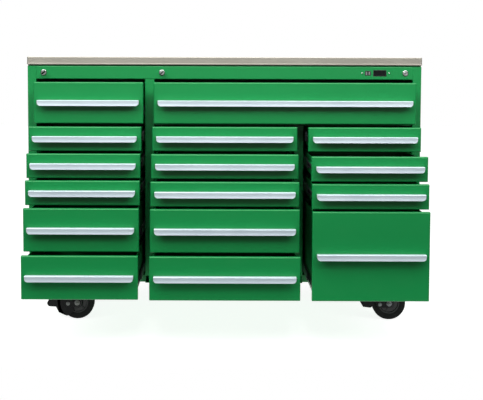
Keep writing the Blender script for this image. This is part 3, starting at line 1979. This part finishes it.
@dataclass
class Caster:
    """One swivel caster: fork, wheel and brake lever."""

    place: CasterPlace
    leg_gap: float = 5.5
    leg_t: float = 4.0
    crown_t: float = 6.0
    crown_back: float = 40.0
    hub_r: float = 48.0

    def build(self) -> list[bpy.types.Object]:
        """Build the caster's pieces.

        Returns:
            The pieces.
        """
        pieces = [self._fork(), self._tyre(), self._hub()]
        if self.place.braked:
            pieces.append(self._brake())
        return pieces

    @property
    def leg_in(self) -> float:
        """Distance of a leg's inner face from the wheel's middle."""
        return self.place.width / 2 + self.leg_gap

    def _fork(self) -> bpy.types.Object:
        """Crown, race cup, two legs, axle with nuts and the brake's pins."""
        c, shape = self.place, Shape()
        (px, py), r = c.pin, c.radius
        ax, crown = c.axle_x, c.crown
        inner, t = self.leg_in, self.leg_t
        top = crown + self.crown_t
        points = [(px - self.crown_back, top), (ax, top), (px - self.crown_back, top - 14)]
        points += arc((ax, r), 17, -100, 30, 14) + arc((ax - 42, r - 4), 15, 150, 270, 12)
        leg = hull(points)
        for side in (-1, 1):
            y = sorted((py + side * inner, py + side * (inner + t)))
            shape.slab(leg, Axis.Y, y[0], y[1], 1.0)
        # pressed rib down each leg
        for side in (-1, 1):
            foot = py + side * (inner + t)
            rib = hull(arc((ax - 21, r + 4), 7, 180, 360, 8) + arc((px - 2, top - 26), 13, 0, 180, 8))
            loops = []
            for by, out in ((0.0, -0.4), (1.0, 0.8), (3.5, 1.6)):
                loops.append([Axis.Y.at(u, v, foot + side * out) for u, v in inset(rib, by)])
            shape.loft(loops)
        crown_box = rect(px - self.crown_back, py - inner - 1, ax, py + inner + 1, 9, 5)
        shape.slab(crown_box, Axis.Z, crown, top, 1.2)
        cup = [(7.2, crown + 5.0), (30, crown + 5.0), (36.5, top + 0.1), (33.5, top + 4.4), (7.2, top + 4.4)]
        shape.lathe(cup, (px, py, 0.0), Axis.Z, 48, ring=True)
        shape.look = 1
        for side in (-1, 1):
            foot = py + side * (inner + t)
            shape.hex_head((ax, foot, r), Axis.Y, 10.0, 8.0, side)
            shape.lathe([(5.0, 0), (5.0, side * 11.5), (4.2, side * 12.3)], (ax, foot, r), Axis.Y, 20)
            shape.hex_head((ax - 42, foot, r - 4), Axis.Y, 7.0, 4.5, side)
        axle = [(5.9, -inner), (5.9, inner)]
        shape.lathe(axle, (ax, py, r), Axis.Y, 28)
        if c.braked:
            pin_x, pin_z = c.brake_pin
            for side in (-1, 1):
                pin = [(4.0, side * 0.4), (4.0, side * -4.3)]
                shape.lathe(pin, (pin_x, py + side * inner, pin_z), Axis.Y, 20)
                shape.screw((pin_x, py + side * (inner + t), pin_z), Axis.Y, 6.0, side)
        finishes = [Finish.BLACK, Finish.BOLT]
        node = "caster_fork_" + c.name
        return shape.piece("fork_" + c.name + "_steel", "fork_" + c.name, finishes, "black_metal", [node])

    def _tyre(self) -> bpy.types.Object:
        """The tyre with rounded shoulders and shallow tread grooves."""
        c, shape = self.place, Shape()
        r, w = c.radius, c.width / 2
        hub = self.hub_r + 0.2
        side = [(hub, w - 4), (hub + 6, w - 2.2), (r - 12, w - 0.6)]
        shoulder = [(r - 7 + 7 * math.sin(a), w - 7 + 7 * math.cos(a)) for a in quarter(7)]
        tread: list[Point2] = []
        for g in (12.0, 4.0, -4.0, -12.0):
            tread += [(r, g + 1.3), (r - 1.8, g + 0.7), (r - 1.8, g - 0.7), (r, g - 1.3)]
        half = side + shoulder
        profile = half + tread + [(a, -b) for a, b in reversed(half)]
        shape.lathe(profile, (c.axle_x, c.pin[1], r), Axis.Y, 96, ring=True)
        node = "caster_wheel_" + c.name
        return shape.piece("wheel_" + c.name + "_tyre", "wheel_" + c.name, [Finish.RUBBER], "tyre", [node])

    def _hub(self) -> bpy.types.Object:
        """The moulded hub: rim ring, dish with webs, boss and axle cap."""
        c, shape = self.place, Shape()
        w, rim, centre = c.width / 2, self.hub_r, (c.axle_x, c.pin[1], c.radius)
        face = [
            (rim, w - 4.2),
            (rim - 0.8, w - 3.4),
            (rim - 4.6, w - 3.2),
            (rim - 5.6, w - 4.4),
            (rim - 7.0, w - 10.0),
            (26.0, w - 10.5),
            (22.5, w - 3.0),
            (20.5, w - 0.6),
            (13.0, w),
            (11.5, w - 1.6),
            (6.1, w - 1.6),
        ]
        profile = face + [(a, -b) for a, b in reversed(face)]
        shape.lathe(profile, centre, Axis.Y, 72, ring=True)
        for side in (-1, 1):
            for k in range(6):
                self._web(shape, centre, side, w, 60 * k + 15)
        node = "wheel_" + c.name
        return shape.piece(node + "_hub", node, [Finish.HUB], "black_plastic")

    @staticmethod
    def _web(shape: Shape, centre: Point3, side: int, w: float, degrees: float) -> None:
        """One radial web of the hub's dish.

        Args:
            shape: The mesh to add to.
            centre: The wheel's middle.
            side: Side of the wheel.
            w: Half of the wheel's width.
            degrees: Angle of the web.
        """
        a = math.radians(degrees)
        out = Vector((math.cos(a), 0.0, math.sin(a)))
        across = Vector((-math.sin(a), 0.0, math.cos(a)))
        loops = []
        for half, depth in ((2.4, 11.0), (2.0, 5.6), (1.4, 5.0)):
            y = Vector((0.0, side * (w - depth), 0.0))
            loops.append(
                [
                    Vector(centre) + out * d + across * (half * s) + y
                    for d, s in ((21.5, -1), (42.0, -1), (42.0, 1), (21.5, 1))
                ]
            )
        shape.loft(loops)

    def _brake(self) -> bpy.types.Object:
        """The lever: two arms, shoe and a ribbed toe pad."""
        c, shape = self.place, Shape()
        ax, r, py = c.axle_x, c.radius, c.pin[1]
        pin_x, pin_z = c.brake_pin
        reach = r + 2.5
        half = self.leg_in - 1.3
        pad_x, pad_z, pad_r = ax - 122, r - 3, 15
        pad = arc((pad_x, pad_z), pad_r, 80, 262, 16)
        under = [(ax - 97, r - 19), (ax - 84, r - 45), (ax - 60, r - 56)]
        # the shoe follows the tyre at a small distance
        bite = arc((ax, r), reach, 228, 166, 14)
        outline = pad + under + bite + [(ax - 95, r + 30)]
        shape.slab(outline, Axis.Y, py - half, py + half)
        arm = [(ax - 95, r + 30), (ax - 86, r - 30), (ax - 82, r - 45), (ax - 58, r - 57), (ax - 46, r - 61)]
        arm += arc((ax - 26, r - 36), 10, -50, 30, 6) + [(ax - 20, r)]
        arm += arc((pin_x, pin_z), 12, -70, 110, 12)
        for y in (py - half, py + half - 2.0):
            shape.slab(arm, Axis.Y, y, y + 2.0, 0.4, 1)
        for k in range(5):
            x = ax - 131 + 5.2 * k
            if x < ax - 118:
                top_z = pad_z + math.sqrt(max(pad_r**2 - (x - pad_x) ** 2, 0.0))
            else:
                top_z = r + 12 + (x - ax + 118) * 0.5
            shape.box((x - 1.1, py - half + 3, top_z - 2), (x + 1.1, py + half - 3, top_z + 1.1), 0.7)
        if c.brake_up:
            shape.turned((pin_x, py, pin_z), Axis.Y, SIZES.brake_turn)
        body = "brake_" + c.name
        return shape.piece(body + "_lever", body, [Finish.BLACK], "black_metal", ["brake_lever_" + c.name])


@dataclass
class CasterPlates:
    """The four mounting plates with their swivel races, king pins and bolts."""

    casters: Sequence[CasterPlace]
    length: float = 115.0
    width: float = 100.0
    thick: float = 5.0

    def build(self) -> list[bpy.types.Object]:
        """Build all plates as one piece.

        Returns:
            The piece in a list.
        """
        shape = Shape()
        for c in self.casters:
            x, y = c.pin
            low = c.plate_top - self.thick
            crown = c.crown
            half_l, half_w = self.length / 2, self.width / 2
            plate = rect(x - half_l, y - half_w, x + half_l, y + half_w, 9, 5)
            shape.look = 0
            shape.slab(plate, Axis.Z, low, c.plate_top, 0.9)
            race = [(8.0, 0.0), (37.0, 0.0), (38.0, -2.0), (38.0, -6.4)]
            race += [(34.8, -7.4), (33.5, -9.6), (8.0, -9.6)]
            shape.lathe(race, (x, y, low + 0.1), Axis.Z, 48, ring=True)
            shape.look = 1
            shape.lathe([(6.9, low), (6.9, crown - 5.0)], (x, y, 0.0), Axis.Z, 28)
            shape.hex_head((x, y, crown - 0.3), Axis.Z, 11.0, 4.6, -1)
            for dx in (-1, 1):
                for dy in (-1, 1):
                    at = (x + dx * (half_l - 14), y + dy * (half_w - 14), low)
                    shape.hex_head(at, Axis.Z, 7.0, 6.0, -1)
        finishes = [Finish.BLACK, Finish.BOLT]
        return [shape.piece("caster_mounts", "cabinet", finishes, "black_metal", ["caster_plates"])]


# --------------------------------------------------------------------------------------
# Studio
# --------------------------------------------------------------------------------------


@dataclass
class Studio:
    """White floor, soft lights and the camera, with its lens in millimetres."""

    camera_at: Point3 = (-43.0, -5179.0, 1184.0)
    pitch: float = -4.22
    roll: float = 0.17
    lens: float = 82.8075
    sensor: float = 36.0
    shift: Point2 = (0.0559, -0.1242)

    def build(self) -> None:
        """Build the floor, the surroundings, the lights and the camera."""
        self._floor()
        self._world()
        self._lights()
        self._camera()

    def _floor(self) -> None:
        """A pale, faintly glowing floor under and behind the chest."""
        shape = Shape()
        shape.slab(rect(-6000.0, -950.0, 6000.0, 14000.0, 150.0, 8), Axis.Z, -12.0, -0.2)
        floor = _loose_object("studio_floor", shape.mesh)
        shape.mesh.free()
        floor.data.materials.append(Finish.FLOOR.material)

    @staticmethod
    def _world() -> None:
        """White surroundings that light the chest only softly."""
        world = bpy.data.worlds.new("studio")
        bpy.context.scene.world = world
        world.use_nodes = True
        nodes, links = world.node_tree.nodes, world.node_tree.links
        dim = nodes["Background"]
        dim.inputs["Color"].default_value = (0.96, 0.98, 1.0, 1.0)
        dim.inputs["Strength"].default_value = 0.1
        bright = nodes.new("ShaderNodeBackground")
        bright.inputs["Color"].default_value = (1.0, 1.0, 1.0, 1.0)
        seen, both = nodes.new("ShaderNodeLightPath"), nodes.new("ShaderNodeMixShader")
        links.new(seen.outputs["Is Camera Ray"], both.inputs[0])
        links.new(dim.outputs[0], both.inputs[1])
        links.new(bright.outputs[0], both.inputs[2])
        links.new(both.outputs[0], nodes["World Output"].inputs["Surface"])

    def _lights(self) -> None:
        """A broad sun from each side, two soft panels above the chest and one far in front."""
        self._sun("key_left", 34.0, -44.0, 24.0, 1.05)
        self._sun("key_right", 34.0, 44.0, 24.0, 0.8)
        self._area("above", (-200.0, -2100.0, 2750.0), 4.6, 1.4, 116.0)
        self._area("sky", (0.0, -900.0, 3400.0), 5.0, 2.2, 110.0, (0.0, -500.0, 0.0))
        self._area("front", (0.0, -7000.0, 1250.0), 6.0, 1.4, 24.0)

    @staticmethod
    def _sun(name: str, height: float, side: float, spread: float, strength: float) -> None:
        """One broad, even light from far away.

        Args:
            name: The light's name.
            height: Its angle above the floor, in degrees.
            side: Its angle to the right of the front, in degrees.
            spread: How broad it looks, in degrees.
            strength: Its strength.
        """
        data = bpy.data.lights.new(name, "SUN")
        data.angle, data.energy = math.radians(spread), strength
        light = bpy.data.objects.new(name, data)
        light.rotation_euler = (math.radians(90.0 - height), 0.0, math.radians(side))
        bpy.context.scene.collection.objects.link(light)

    def _area(
        self,
        name: str,
        at: Point3,
        width: float,
        height: float,
        power: float,
        aim_at: Point3 = (0.0, 0.0, 600.0),
    ) -> None:
        """One soft rectangular light.

        Args:
            name: The light's name.
            at: Its place.
            width: Width in metres.
            height: Height in metres.
            power: Power in watts.
            aim_at: The point that it faces.
        """
        data = bpy.data.lights.new(name, "AREA")
        data.shape, data.size, data.size_y, data.energy = "RECTANGLE", width, height, power
        light = bpy.data.objects.new(name, data)
        light.location = Vector(at) * MM
        aim = (Vector(aim_at) - Vector(at)).to_track_quat("-Z", "Y")
        light.rotation_euler = aim.to_euler()
        bpy.context.scene.collection.objects.link(light)

    def _camera(self) -> None:
        """The camera, level with the worktop and a little left of the chest's middle."""
        data = bpy.data.cameras.new("camera")
        data.sensor_fit, data.sensor_width, data.lens = "HORIZONTAL", self.sensor, self.lens
        data.shift_x, data.shift_y = self.shift
        data.clip_start, data.clip_end = 0.1, 200.0
        camera = bpy.data.objects.new("camera", data)
        camera.location = Vector(self.camera_at) * MM
        tilt = Euler((math.radians(90 + self.pitch), 0.0, 0.0)).to_matrix()
        twist = Euler((0.0, 0.0, math.radians(self.roll))).to_matrix()
        camera.rotation_euler = (tilt @ twist).to_euler()
        bpy.context.scene.collection.objects.link(camera)
        bpy.context.scene.camera = camera
        bpy.context.scene.view_settings.view_transform = "Standard"


def drawer_names(nodes: Sequence[str]) -> list[str]:
    """The drawers' names among the CAD nodes, in order."""
    return sorted(n.removeprefix("drawer_") for n in nodes if n.startswith("drawer_"))


def main() -> None:
    """Build the whole chest and its studio."""
    logging.basicConfig(level=logging.INFO, format="%(name)s: %(message)s")
    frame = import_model()
    panel = PanelPlaces.read()
    drawers = [DrawerPlace.read(n) for n in drawer_names(list(frame["nodes"]))]
    places = ("front_left", "front_right", "rear_left", "rear_right")
    casters = [CasterPlace.read(n) for n in places]
    builders: list[Callable[[], Any]] = [
        Carcass().build,
        Worktop().build,
        Fascia(panel).build,
        PowerPanel(panel).build,
        Locks(panel).build,
        Slides(Box.of("side_panel_left").low.y, drawers).build,
        CasterPlates(casters).build,
    ]
    builders += [Caster(c).build for c in casters]
    for place in drawers:
        builders += [Drawer(place).build, Pull(place.name).build]
    for build in builders:
        made = build()
        for piece in made if isinstance(made, list) else [made]:
            log.info("%s: %d faces", piece.name, len(piece.data.polygons))
    Studio().build()


if __name__ == "__main__":
    main()
